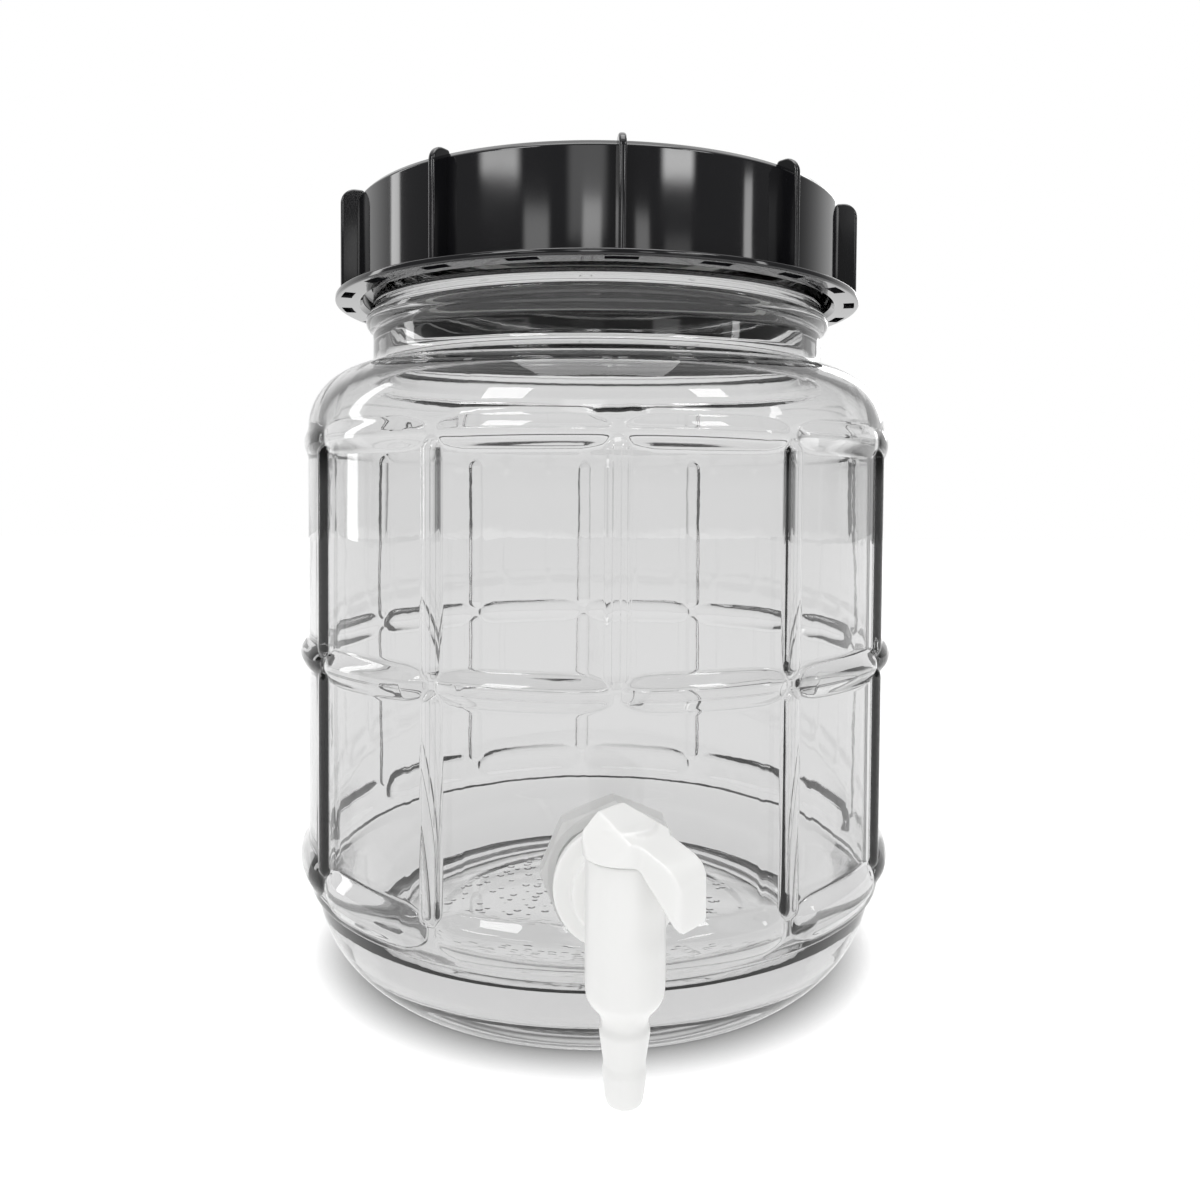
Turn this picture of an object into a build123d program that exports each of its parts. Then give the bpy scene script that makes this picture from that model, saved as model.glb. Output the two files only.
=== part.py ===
from build123d import *

import os
from math import asin, cos, degrees, radians, sin, sqrt, tan

# A wide-mouth glass carboy with a screw lid and a lever tap. It stands on Z = 0 with its axis on Z.
# The tap points to -Y. Sizes are in millimetres and degrees.

# Jar, one piece of clear glass. Shoulder, bead and thread are measured down from the rim.
wall_r = 95.0
glass_t = 4.0
base_t = 6.0
punt_rise = 2.0
punt_slope_w = 5.0
foot_w = 8.0
heel_h = 24.0
heel_inset = 2.4
heel_round_r = 34.0
heel_round_z = 27.0
band_proud = 2.6
low_band_rise = 4.0
low_band_h = 13.2
mid_band_z = 99.5
mid_band_h = 10.0
top_band_drop = 4.6
top_band_h = 8.0
rim_z = 238.3
rim_edge = 1.0
shoulder_drop = 68.3
shoulder_r = 20.0
shoulder_slope = 11.0
neck_inset = 20.3
neck_fillet = 3.5
bead_drop = 36.3
bead_h = 6.5
bead_proud = 2.3

# Half-round ribs between the bands. The lower row has none over the tap.
rib_count = 12
rib_r = 3.2
rib_gap = 0.8
rib_taper = 3.0

# Thread between the jar and the lid
thread_pitch = 8.0
thread_depth = 2.2
thread_root_w = 4.4
thread_crest_w = 1.8
thread_sink = 0.7
thread_clearance = 0.9
jar_thread_drop = 20.8
jar_thread_turns = 1.5
lid_thread_start = 90.0
lid_thread_turns = 1.0
lid_thread_clearance = 0.7

# Lid, one black moulding
lid_wall_t = 2.2
lid_top_t = 2.5
lid_bevel = 1.5
lid_skirt_h = 27.4
mouth_chamfer = 1.3
flange_t = 1.9
flange_w = 6.6
fin_count = 10
fin_turn = 1.0
fin_t = 2.1
fin_reach = 5.7
fin_root = 1.6
fin_rise = 0.8
fin_corner_r = 4.5
slot_count = 20
slot_l = 9.0
slot_w = 3.3
slot_margin = 1.45

# Sealing ring under the lid
seal_t = 1.9
seal_hang = 2.5
seal_gap = 0.8

# Tap body, one moulding: threaded shank, flange, barrel and barbed outlet. Its other heights are
# distances up or down from the shank's axis.
tap_z = 52.2
tap_reach = 28.5
shank_r = 10.0
shank_bore_r = 4.5
shank_tail = 4.5
shank_edge = 1.0
disc_r = 15.9
disc_t = 3.4
disc_edge = 1.0
collar_r = 11.4
collar_t = 4.0
tap_neck_r = 8.0
barrel_r = 9.1
barrel_up = 17.3
barrel_down = 13.3
valve_r = 7.0
valve_down = 13.7
valve_floor_drop = 2.6
spout_bore_r = 3.3
spout_r = 5.6
spout_down = 18.4
barb_neck_down = 20.5
barb_neck_r = 5.2
barb_down = 22.3
barb_r = 5.8
barb_root_down = 29.6
barb_root_r = 4.75
end_barb_down = 31.4
end_barb_r = 5.05
tip_down = 39.0
tip_r = 4.3
tip_edge = 1.0

# Washers and nut that hold the tap in the wall
hole_clearance = 1.0
pad_clearance = 0.5
saddle_clearance = 0.05
washer_clearance = 0.2
outer_washer_t = 1.3
outer_washer_r = 14.4
inner_washer_r = 15.0
nut_sides = 8
nut_corner_r = 18.7
nut_t = 8.0
nut_edge = 1.0
nut_wall_clearance = 0.3
nut_bore_clearance = 0.1

# Handle, one moulding: hub, hollow lever and hollow valve plug
lever_turn = -43.0
hub_r = 9.9
hub_h = 9.8
hub_top_w = 9.0
hub_lift = 0.2
lever_w = 11.2
lever_reach = 18.6
lever_corner_r = 2.0
lever_slope = 22.0
lever_nose_r = 5.5
lever_tip_up = 5.4
lever_root = 7.2
lever_wall_t = 1.8
lever_clearance = 0.3
plug_fit = 0.05
plug_bore_r = 3.8
plug_end_gap = 0.3
plug_roof_up = 11.8
window_r = 4.0
snap_up = 14.3
snap_h = 1.6
snap_proud = 0.35
snap_clearance = 0.1


def flats(x, z, radius, start, end, count):
    """Points along an arc, drawn as a few straight flats."""
    step = (end - start) / count
    angles = [radians(start + k * step) for k in range(count + 1)]
    return [(x + radius * cos(a), z + radius * sin(a)) for a in angles]


def band_points(z, h):
    """Outline of a half-round band that stands proud of the wall."""
    r = (h**2 / 4 + band_proud**2) / (2 * band_proud)
    half = degrees(asin(h / 2 / r))
    return flats(wall_r + band_proud - r, z, r, -half, half, 3)


def shoulder_points(inset):
    """Outline from the wall over the shoulder to the neck, or a line inside it by the inset."""
    slope = radians(shoulder_slope)
    round_x = wall_r - shoulder_r
    over = flats(round_x, shoulder_z, shoulder_r - inset, 0, 90 - shoulder_slope, 4)
    neck_x = neck_r + neck_fillet
    crown = shoulder_z + shoulder_r / cos(slope)
    neck_round_z = crown - (neck_x - round_x) * tan(slope) + neck_fillet / cos(slope)
    into = flats(neck_x, neck_round_z, neck_fillet + inset, 270 - shoulder_slope, 180, 1)
    return over + into


def radial_plane(angle, y=0.0):
    """An upright plane through a vertical axis: local X points outwards at the angle, local Y up."""
    a = radians(angle)
    return Plane(origin=(0, y, 0), x_dir=(cos(a), sin(a), 0), z_dir=(sin(a), -cos(a), 0))


def rib_side(low, high):
    """Side outline of a rib, with a slope at each end."""
    return [
        (rib_x - rib_r / 2, low),
        (rib_x + rib_r / 4, low),
        (rib_x + rib_r, low + rib_taper),
        (rib_x + rib_r, high - rib_taper),
        (rib_x + rib_r / 4, high),
        (rib_x - rib_r / 2, high),
    ]


def thread_points(root_r, crest_r, z):
    """Section of a thread, from its sunk root to its crest."""
    return [
        (root_r, z - thread_root_w / 2),
        (crest_r, z - thread_crest_w / 2),
        (crest_r, z + thread_crest_w / 2),
        (root_r, z + thread_root_w / 2),
    ]


# Sizes and places that follow from the ones above
neck_r = wall_r - neck_inset
low_band_z = heel_h + low_band_rise + low_band_h / 2
shoulder_z = rim_z - shoulder_drop
top_band_z = shoulder_z - top_band_drop
bead_z = rim_z - bead_drop
jar_thread_z = rim_z - jar_thread_drop
barrel_top_z = tap_z + barrel_up
barrel_foot_z = tap_z - barrel_down
valve_floor_z = tap_z - valve_down
spout_z = tap_z - spout_down
barb_neck_z = tap_z - barb_neck_down
barb_z = tap_z - barb_down
barb_root_z = tap_z - barb_root_down
end_barb_z = tap_z - end_barb_down
tip_z = tap_z - tip_down
lever_tip_z = tap_z + lever_tip_up
plug_roof_z = tap_z + plug_roof_up
snap_z = tap_z + snap_up
wall_in_r = wall_r - glass_t
neck_in_r = neck_r - glass_t
heel_x = wall_r - heel_inset - heel_round_r
heel_in_r = heel_round_r - glass_t
foot_r = heel_x + sqrt(heel_round_r**2 - heel_round_z**2)
floor_z = punt_rise + base_t
heel_bottom = -degrees(asin(heel_round_z / heel_round_r))
heel_top = -degrees(asin((heel_round_z - heel_h) / heel_round_r))
heel_floor = -degrees(asin((heel_round_z - floor_z) / heel_in_r))
bands = [(low_band_z, low_band_h), (mid_band_z, mid_band_h), (top_band_z, top_band_h)]
rib_x = wall_r + band_proud - rib_r
crest_r = neck_r + thread_depth
lid_in_r = crest_r + thread_clearance
lid_r = lid_in_r + lid_wall_t
lid_crest_r = neck_r + lid_thread_clearance
lid_under_z = rim_z + seal_t
lid_top_z = lid_under_z + lid_top_t
lid_foot_z = rim_z - lid_skirt_h
lid_thread_z = jar_thread_z + thread_pitch * (lid_thread_start / 360 - 0.5)
flange_top_z = lid_foot_z + flange_t
flange_r = lid_r + flange_w
tap_y = -(wall_r + tap_reach)
tap_angle = -90.0
disc_d = wall_r + outer_washer_t
nut_d = sqrt(wall_in_r**2 - nut_corner_r**2) - nut_wall_clearance
shank_end_d = nut_d - nut_t - shank_tail
collar_d = disc_d + disc_t
barrel_d = wall_r + tap_reach
nut_flat_r = nut_corner_r * cos(radians(180 / nut_sides))
hub_z = barrel_top_z + hub_lift
hub_top_z = hub_z + hub_h
plug_r = valve_r - plug_fit
plug_end_z = valve_floor_z + plug_end_gap
snap_r = plug_r + snap_proud

rib_step = 360 / rib_count
rib_ends = [
    (low_z + low_h / 2 + rib_gap, high_z - high_h / 2 - rib_gap)
    for (low_z, low_h), (high_z, high_h) in zip(bands, bands[1:])
]

barrel_axis = Axis((0, tap_y, 0), (0, 0, 1))
barrel_plane = Plane.XZ.offset(-tap_y)
shank_axis = Axis((0, 0, tap_z), (0, -1, 0))
shank_plane = Plane(origin=(0, 0, tap_z), x_dir=(0, -1, 0), z_dir=(1, 0, 0))


# Ribs of the jar, half round with sloping ends
with BuildPart() as lower_rib:
    with BuildSketch(Plane.XY.offset(rib_ends[0][0])):
        with Locations((rib_x, 0)):
            Circle(rib_r)
    extrude(amount=rib_ends[0][1] - rib_ends[0][0])
    with BuildSketch(Plane.XZ):
        with BuildLine():
            Polyline(*rib_side(*rib_ends[0]), close=True)
        make_face()
    extrude(amount=rib_r, both=True, mode=Mode.INTERSECT)

with BuildPart() as upper_rib:
    with BuildSketch(Plane.XY.offset(rib_ends[1][0])):
        with Locations((rib_x, 0)):
            Circle(rib_r)
    extrude(amount=rib_ends[1][1] - rib_ends[1][0])
    with BuildSketch(Plane.XZ):
        with BuildLine():
            Polyline(*rib_side(*rib_ends[1]), close=True)
        make_face()
    extrude(amount=rib_r, both=True, mode=Mode.INTERSECT)


# What is missing from the lower band, so that the tap can sit on plain wall
with BuildPart() as tap_pad:
    with BuildSketch(Plane.XZ.offset(wall_r / 2)):
        with Locations((0, tap_z)):
            Circle(disc_r + pad_clearance)
    extrude(amount=wall_r)
    with BuildSketch():
        Circle(wall_r)
    extrude(amount=2 * tap_z, mode=Mode.SUBTRACT)


# Jar, turned from a section that stands in the middle of the tap hole
with BuildPart() as jar:
    with BuildSketch(radial_plane(tap_angle)):
        with BuildLine():
            Polyline(
                (0, floor_z),
                (0, punt_rise),
                (foot_r - foot_w - punt_slope_w, punt_rise),
                (foot_r - foot_w, 0),
                *flats(heel_x, heel_round_z, heel_round_r, heel_bottom, heel_top, 3),
                *[point for z, h in bands for point in band_points(z, h)],
                *shoulder_points(0),
                (neck_r, bead_z),
                (neck_r + bead_proud, bead_z + bead_proud),
                (neck_r + bead_proud, bead_z + bead_h - bead_proud / 2),
                (neck_r, bead_z + bead_h),
                (neck_r, rim_z - rim_edge),
                (neck_r - rim_edge, rim_z),
                (neck_in_r, rim_z),
                *reversed(shoulder_points(glass_t)),
                (wall_in_r, low_band_z),
                *flats(heel_x, heel_round_z, heel_in_r, heel_top, heel_floor, 1),
                close=True,
            )
        make_face()
    revolve(axis=Axis.Z)
    add(tap_pad.part, mode=Mode.SUBTRACT)
    with PolarLocations(0, rib_count, tap_angle):
        add(upper_rib.part)
    with PolarLocations(0, rib_count - 1, tap_angle + rib_step, 360 - rib_step):
        add(lower_rib.part)
    with BuildSketch(Plane.XZ):
        with BuildLine():
            Polyline(*thread_points(neck_r - thread_sink, crest_r, jar_thread_z), close=True)
        make_face()
    with BuildLine(mode=Mode.PRIVATE) as jar_helix:
        Helix(thread_pitch, thread_pitch * jar_thread_turns, neck_r, center=(0, 0, jar_thread_z))
    sweep(path=jar_helix.line, is_frenet=True)
    with BuildSketch(Plane.XZ.offset(wall_r / 2)):
        with Locations((0, tap_z)):
            Circle(shank_r + hole_clearance)
    extrude(amount=wall_r, mode=Mode.SUBTRACT)
jar.part.label = "jar"


# Sealing ring
with BuildPart() as lid_seal:
    with BuildSketch(Plane.XY.offset(rim_z)):
        Circle(lid_in_r - seal_gap)
        Circle(neck_in_r - seal_hang, mode=Mode.SUBTRACT)
    extrude(amount=seal_t)
lid_seal.part.label = "lid_seal"


# Lid
with BuildPart() as lid:
    with BuildSketch(Plane.XZ):
        with BuildLine():
            Polyline(
                (0, lid_top_z),
                (lid_r - lid_bevel, lid_top_z),
                (lid_r, lid_top_z - lid_bevel),
                (lid_r, flange_top_z),
                (flange_r, flange_top_z),
                (flange_r, lid_foot_z),
                (lid_in_r + mouth_chamfer, lid_foot_z),
                (lid_in_r, lid_foot_z + mouth_chamfer),
                (lid_in_r, lid_under_z),
                (0, lid_under_z),
                close=True,
            )
        make_face()
    revolve(axis=Axis.Z)
    for k in range(fin_count):
        with BuildSketch(radial_plane(tap_angle + fin_turn + k * 360 / fin_count)):
            with BuildLine():
                FilletPolyline(
                    (lid_r - fin_root, flange_top_z),
                    (lid_r + fin_reach, flange_top_z),
                    (lid_r + fin_reach, lid_top_z + fin_rise),
                    (lid_r - fin_root, lid_top_z + fin_rise),
                    radius=[0, fin_corner_r],
                )
                Line(
                    (lid_r - fin_root, lid_top_z + fin_rise),
                    (lid_r - fin_root, flange_top_z),
                )
            make_face()
        extrude(amount=fin_t / 2, both=True)
    with BuildSketch(Plane.XY.offset(lid_foot_z)):
        with PolarLocations(flange_r - slot_margin - slot_w / 2, slot_count, tap_angle + fin_turn):
            Rectangle(slot_w, slot_l)
    extrude(amount=flange_t, mode=Mode.SUBTRACT)
    with BuildSketch(radial_plane(lid_thread_start)):
        with BuildLine():
            Polyline(*thread_points(lid_in_r + thread_sink, lid_crest_r, lid_thread_z), close=True)
        make_face()
    with BuildLine(mode=Mode.PRIVATE) as lid_helix:
        Helix(thread_pitch, thread_pitch * lid_thread_turns, lid_in_r, center=(0, 0, lid_thread_z))
    sweep(path=lid_helix.line.rotate(Axis.Z, lid_thread_start), is_frenet=True)
lid.part.label = "lid"


# Tap body
with BuildPart() as tap_body:
    with BuildSketch(barrel_plane):
        with BuildLine():
            Polyline(
                (0, tip_z),
                (tip_r - tip_edge, tip_z),
                (tip_r, tip_z + tip_edge),
                (end_barb_r, end_barb_z),
                (barb_root_r, barb_root_z),
                (barb_r, barb_z),
                (barb_neck_r, barb_neck_z),
                (spout_r, spout_z),
                (barrel_r - (barrel_r - spout_r) / 4, spout_z + (barrel_foot_z - spout_z) / 2),
                (barrel_r, barrel_foot_z),
                (barrel_r, barrel_top_z),
                (0, barrel_top_z),
                close=True,
            )
        make_face()
    revolve(axis=barrel_axis)
    with BuildSketch(shank_plane):
        with BuildLine():
            Polyline(
                (shank_end_d, 0),
                (shank_end_d, shank_r - shank_edge),
                (shank_end_d + shank_edge, shank_r),
                (disc_d, shank_r),
                (disc_d, disc_r),
                (collar_d - disc_edge, disc_r),
                (collar_d, disc_r - disc_edge),
                (collar_d, collar_r),
                (collar_d + collar_t, collar_r),
                (collar_d + collar_t, tap_neck_r),
                (barrel_d, tap_neck_r),
                (barrel_d, 0),
                close=True,
            )
        make_face()
    revolve(axis=shank_axis)
    with BuildSketch(barrel_plane):
        with BuildLine():
            Polyline(
                (0, tip_z),
                (spout_bore_r, tip_z),
                (spout_bore_r, valve_floor_z - valve_floor_drop),
                (valve_r, valve_floor_z),
                (valve_r, snap_z - snap_h / 2 - snap_clearance),
                (snap_r + snap_clearance, snap_z),
                (valve_r, snap_z + snap_h / 2 + snap_clearance),
                (valve_r, barrel_top_z),
                (0, barrel_top_z),
                close=True,
            )
        make_face()
    revolve(axis=barrel_axis, mode=Mode.SUBTRACT)
    with BuildSketch(shank_plane):
        with BuildLine():
            Polyline(
                (shank_end_d, 0),
                (shank_end_d, shank_bore_r),
                (barrel_d, shank_bore_r),
                (barrel_d, 0),
                close=True,
            )
        make_face()
    revolve(axis=shank_axis, mode=Mode.SUBTRACT)
tap_body.part.label = "tap_body"


# Washers, each with one face curved to the wall, and the nut
with BuildPart() as outer_washer:
    with BuildSketch(Plane.XZ.offset(disc_d)):
        with Locations((0, tap_z)):
            Circle(outer_washer_r)
            Circle(shank_r + washer_clearance, mode=Mode.SUBTRACT)
    extrude(amount=-(disc_d - sqrt(wall_r**2 - outer_washer_r**2) + saddle_clearance))
    with BuildSketch():
        Circle(wall_r + saddle_clearance)
    extrude(amount=2 * tap_z, mode=Mode.SUBTRACT)
outer_washer.part.label = "outer_washer"

with BuildPart() as inner_washer:
    with BuildSketch(Plane.XZ.offset(nut_d)):
        with Locations((0, tap_z)):
            Circle(inner_washer_r)
            Circle(shank_r + washer_clearance, mode=Mode.SUBTRACT)
    extrude(amount=wall_r - nut_d)
    with BuildSketch():
        Circle(wall_in_r - saddle_clearance)
    extrude(amount=2 * tap_z, mode=Mode.INTERSECT)
inner_washer.part.label = "inner_washer"

with BuildPart() as lock_nut:
    with BuildSketch(Plane.XZ.offset(nut_d)):
        with Locations((0, tap_z)):
            RegularPolygon(nut_corner_r, nut_sides)
    extrude(amount=-nut_t)
    with BuildSketch(shank_plane):
        with BuildLine():
            Polyline(
                (nut_d, shank_r + nut_bore_clearance),
                (nut_d, nut_flat_r - nut_edge / 2),
                (nut_d - nut_edge, nut_corner_r),
                (nut_d - nut_t + nut_edge, nut_corner_r),
                (nut_d - nut_t, nut_flat_r - nut_edge / 2),
                (nut_d - nut_t, shank_r + nut_bore_clearance),
                close=True,
            )
        make_face()
    revolve(axis=shank_axis, mode=Mode.INTERSECT)
lock_nut.part.label = "lock_nut"


# Handle. Its hub and lever are what three outlines have in common: from the side, above and the end.
lever_a = radians(lever_turn)
side_plane = radial_plane(lever_turn, tap_y)
above_plane = Plane(origin=(0, tap_y, 0), x_dir=(cos(lever_a), sin(lever_a), 0), z_dir=(0, 0, 1))
end_plane = Plane(
    origin=(0, tap_y, 0),
    x_dir=(-sin(lever_a), cos(lever_a), 0),
    z_dir=(cos(lever_a), sin(lever_a), 0),
)
crown_u = -hub_top_w / 2
nose_z = hub_top_z - (lever_reach - crown_u) * tan(radians(lever_slope))

with BuildPart() as tap_handle:
    with BuildSketch(side_plane):
        with BuildLine():
            FilletPolyline(
                (-hub_r, hub_z),
                (crown_u, hub_top_z),
                (lever_reach, nose_z),
                (lever_reach, lever_tip_z),
                (lever_root, hub_z),
                radius=[0, lever_nose_r, 0],
            )
            Line((lever_root, hub_z), (-hub_r, hub_z))
        make_face()
    extrude(amount=hub_r, both=True)
    with BuildSketch(above_plane):
        Rectangle(lever_reach, lever_w, align=(Align.MIN, Align.CENTER))
        fillet(vertices().group_by(Axis.X)[-1], radius=lever_corner_r)
        Circle(hub_r)
    extrude(amount=hub_top_z, mode=Mode.INTERSECT)
    with BuildSketch(end_plane):
        with BuildLine():
            Polyline(
                (-hub_r, 0),
                (hub_r, 0),
                (hub_r, hub_z),
                (hub_top_w / 2, hub_top_z),
                (-hub_top_w / 2, hub_top_z),
                (-hub_r, hub_z),
                close=True,
            )
        make_face()
    extrude(amount=lever_reach + hub_r, both=True, mode=Mode.INTERSECT)
    with BuildSketch(above_plane):
        Circle(barrel_r + lever_clearance)
    extrude(amount=hub_z, mode=Mode.SUBTRACT)
    pocket_u = barrel_r + lever_clearance + lever_wall_t
    pocket_top_z = nose_z + lever_nose_r / 2 - lever_wall_t
    with BuildSketch(side_plane):
        with BuildLine():
            Polyline(
                (pocket_u, 0),
                (lever_reach - lever_wall_t, 0),
                (lever_reach - lever_wall_t, pocket_top_z - lever_nose_r / 2),
                (pocket_u, pocket_top_z),
                close=True,
            )
        make_face()
    extrude(amount=lever_w / 2 - lever_wall_t, both=True, mode=Mode.SUBTRACT)
    with BuildSketch(barrel_plane):
        with BuildLine():
            Polyline(
                (0, hub_top_z - lever_wall_t),
                (0, plug_roof_z),
                (plug_bore_r, plug_roof_z),
                (plug_bore_r, plug_end_z),
                (plug_r, plug_end_z),
                (plug_r, snap_z - snap_h / 2),
                (snap_r, snap_z),
                (plug_r, snap_z + snap_h / 2),
                (plug_r, hub_z + hub_lift),
                (plug_bore_r, hub_top_z - lever_wall_t),
                close=True,
            )
        make_face()
    revolve(axis=barrel_axis)
    with BuildSketch(end_plane.rotated((0, 180, 0))):
        with Locations((0, tap_z)):
            Circle(window_r)
    extrude(amount=valve_r, mode=Mode.SUBTRACT)
tap_handle.part.label = "tap_handle"


os.makedirs("parts", exist_ok=True)
export_step(jar.part, "parts/jar.step")
export_step(lid_seal.part, "parts/lid_seal.step")
export_step(lid.part, "parts/lid.step")
export_step(tap_body.part, "parts/tap_body.step")
export_step(outer_washer.part, "parts/outer_washer.step")
export_step(inner_washer.part, "parts/inner_washer.step")
export_step(lock_nut.part, "parts/lock_nut.step")
export_step(tap_handle.part, "parts/tap_handle.step")
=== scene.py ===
"""Looks of a wide-mouth glass carboy with a spigot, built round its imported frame.

Lengths in the classes are in millimetres and angles in degrees, as on a maker's drawing. Meshes
are in metres. The jar stands on Z = 0 with its axis on Z, and the tap points to -Y.
"""

import logging
import math
from collections.abc import Sequence
from dataclasses import dataclass
from enum import Enum

import bmesh
import bpy
from mathutils import Matrix, Vector, noise

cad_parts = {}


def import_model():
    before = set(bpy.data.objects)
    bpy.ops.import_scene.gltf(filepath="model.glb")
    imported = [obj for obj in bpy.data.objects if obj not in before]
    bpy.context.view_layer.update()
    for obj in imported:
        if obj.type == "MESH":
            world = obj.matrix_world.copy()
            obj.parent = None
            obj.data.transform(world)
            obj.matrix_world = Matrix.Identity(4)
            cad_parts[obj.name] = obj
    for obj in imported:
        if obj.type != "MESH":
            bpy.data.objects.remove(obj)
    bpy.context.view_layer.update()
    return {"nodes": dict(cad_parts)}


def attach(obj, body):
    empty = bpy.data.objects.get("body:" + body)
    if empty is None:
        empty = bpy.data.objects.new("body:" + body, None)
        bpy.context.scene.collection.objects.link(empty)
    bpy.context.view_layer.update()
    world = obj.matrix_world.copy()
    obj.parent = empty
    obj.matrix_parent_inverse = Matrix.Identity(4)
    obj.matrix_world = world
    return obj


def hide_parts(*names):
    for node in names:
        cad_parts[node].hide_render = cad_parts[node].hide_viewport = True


MM = 0.001
log = logging.getLogger("carboy")

Point = tuple[float, float]


class Body(Enum):
    """The bodies that the modelled pieces move with."""

    JAR = "jar"
    LID = "lid"
    HANDLE = "handle"


class Ray(Enum):
    """What a Light Path node tells of a ray."""

    CAMERA = "Is Camera Ray"
    GLOSSY = "Is Glossy Ray"
    TRANSMISSION = "Is Transmission Ray"
    SCATTERED = "Diffuse Depth"


# Shader maths


@dataclass(frozen=True)
class Signal:
    """A node's output that takes part in sums, which add Math nodes to its tree."""

    graph: "Graph"
    socket: bpy.types.NodeSocket

    def _math(self, operation: str, left: "Signal | float", right: "Signal | float") -> "Signal":
        """Adds one Math node, and gives its output."""
        return self.graph.add("ShaderNodeMath", {"operation": operation}, {0: left, 1: right})

    def __add__(self, other: "Signal | float") -> "Signal":
        """Sum."""
        return self._math("ADD", self, other)

    def __radd__(self, other: float) -> "Signal":
        """Sum with a number on the left."""
        return self._math("ADD", other, self)

    def __sub__(self, other: "Signal | float") -> "Signal":
        """Difference."""
        return self._math("SUBTRACT", self, other)

    def __rsub__(self, other: float) -> "Signal":
        """Difference from a number on the left."""
        return self._math("SUBTRACT", other, self)

    def __mul__(self, other: "Signal | float") -> "Signal":
        """Product."""
        return self._math("MULTIPLY", self, other)

    def __rmul__(self, other: float) -> "Signal":
        """Product with a number on the left."""
        return self._math("MULTIPLY", other, self)

    def larger(self, other: "Signal | float") -> "Signal":
        """The larger of the two."""
        return self._math("MAXIMUM", self, other)

    def smaller(self, other: "Signal | float") -> "Signal":
        """The smaller of the two."""
        return self._math("MINIMUM", self, other)

    def rise(self, low: float, high: float) -> "Signal":
        """0 below one value and 1 above another, with a soft step between.

        Args:
            low: where it leaves 0; more than high for a fall.
            high: where it reaches 1.

        Returns:
            The step.
        """
        ends = (low, high, 0.0, 1.0) if low < high else (high, low, 1.0, 0.0)
        return self.graph.add("ShaderNodeMapRange", {"interpolation_type": "SMOOTHSTEP"},
                              {0: self, 1: ends[0], 2: ends[1], 3: ends[2], 4: ends[3]})


class Graph:
    """The node tree of one material or of the world."""

    def __init__(self, owner: bpy.types.Material | bpy.types.World) -> None:
        """Empties the owner's tree.

        Args:
            owner: the material or world.
        """
        owner.use_nodes = True
        self.tree = owner.node_tree
        self.tree.nodes.clear()

    def add(self, kind: str, settings: dict | None = None, inputs: dict | None = None,
            output: int | str = 0) -> Signal:
        """Adds one node of any type.

        Args:
            kind: the node's type.
            settings: its settings, set before its sockets.
            inputs: socket names or numbers, each with a value or a Signal.
            output: which output is returned.

        Returns:
            That output.
        """
        node = self.tree.nodes.new(kind)
        for name, value in (settings or {}).items():
            setattr(node, name, value)
        for name, value in (inputs or {}).items():
            if isinstance(value, Signal):
                self.tree.links.new(value.socket, node.inputs[name])
            else:
                node.inputs[name].default_value = value
        return Signal(self, node.outputs[output])

    def place(self) -> Signal:
        """Object coordinates."""
        return self.add("ShaderNodeTexCoord", output="Object")

    def speckle(self, scale: float, detail: float = 3.0) -> Signal:
        """Noise from 0 to 1 on object coordinates, with so many waves in a metre."""
        return self.add("ShaderNodeTexNoise", None,
                        {"Vector": self.place(), "Scale": scale, "Detail": detail}, "Fac")

    def bump(self, height: Signal, depth: float, strength: float) -> Signal:
        """A normal from a height, where a height of 1 means the depth in metres."""
        return self.add("ShaderNodeBump", None,
                        {"Height": height, "Distance": depth, "Strength": strength})

    def shade(self, low: Sequence[float], high: Sequence[float], factor: Signal) -> Signal:
        """A colour between two others, the low one where the factor is 0."""
        return self.add("ShaderNodeMix", {"data_type": "RGBA"},
                        {0: factor, 6: (*low, 1.0), 7: (*high, 1.0)}, 2)

    def part(self, vector: Signal, axis: str) -> Signal:
        """One part of a vector."""
        return self.add("ShaderNodeSeparateXYZ", None, {0: vector}, axis)

    def path(self, ray: Ray) -> Signal:
        """What the Light Path node tells of a ray."""
        return self.add("ShaderNodeLightPath", output=ray.value)

    def finish(self, surface: Signal, kind: str = "ShaderNodeOutputMaterial",
               volume: Signal | None = None) -> None:
        """Adds the output node.

        Args:
            surface: the surface shader.
            kind: the output node's type.
            volume: the shader of the inside, where there is one.
        """
        inputs = {"Surface": surface}
        if volume:
            inputs["Volume"] = volume
        node = self.tree.nodes.new(kind)
        for name, signal in inputs.items():
            self.tree.links.new(signal.socket, node.inputs[name])


# Finishes


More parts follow.
